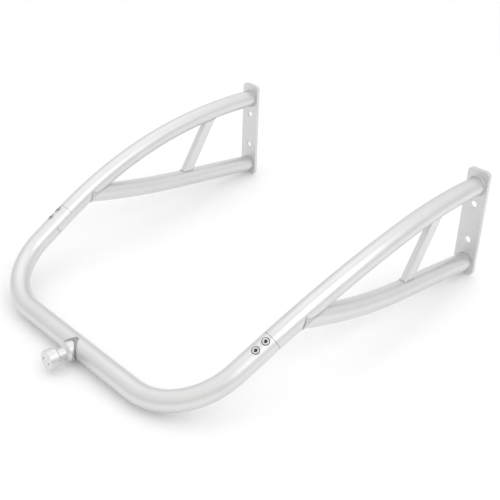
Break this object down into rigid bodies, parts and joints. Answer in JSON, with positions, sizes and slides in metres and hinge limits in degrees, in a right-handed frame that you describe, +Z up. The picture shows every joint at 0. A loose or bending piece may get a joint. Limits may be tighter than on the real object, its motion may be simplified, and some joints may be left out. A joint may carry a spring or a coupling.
{
  "type": "transom tow bar",
  "caption": "Bowed aluminium tube frame with two braced arms that bolt to a boat transom, carrying a tow knob at the middle of its bow.",
  "frame": {"origin": "centre of the rectangle of four bolt holes, on the transom face of the two mount plates", "axes": "+X to the side of the right arm, +Y forward into the boat's transom, so the bow reaches back along -Y, +Z up"},
  "size_m": [0.931, 1.0306, 0.3772],
  "materials": {
    "tube_aluminium": "satin silver-anodised tube",
    "plate_aluminium": "satin silver-anodised plate",
    "turned_aluminium": "turned, satin",
    "weld_aluminium": "dressed weld bead",
    "stainless_screw": "bright stainless steel"
  },
  "bodies": {
    "root": {"bow_tube": "tube_aluminium", "left_arm_insert": "turned_aluminium", "left_bow_insert": "turned_aluminium", "left_brace": "tube_aluminium", "left_brace_welds": "weld_aluminium", "left_lower_tube": "tube_aluminium", "left_merge_weld": "weld_aluminium", "left_mount_plate": "plate_aluminium", "left_plate_welds": "weld_aluminium", "left_splice_screws": "stainless_screw", "left_top_tube": "tube_aluminium", "right_arm_insert": "turned_aluminium", "right_bow_insert": "turned_aluminium", "right_brace": "tube_aluminium", "right_brace_welds": "weld_aluminium", "right_lower_tube": "tube_aluminium", "right_merge_weld": "weld_aluminium", "right_mount_plate": "plate_aluminium", "right_plate_welds": "weld_aluminium", "right_splice_screws": "stainless_screw", "right_top_tube": "tube_aluminium", "tow_boss": "turned_aluminium", "tow_boss_weld": "weld_aluminium", "tow_knob": "turned_aluminium", "tow_stud": "stainless_screw"}
  },
  "joints": []
}
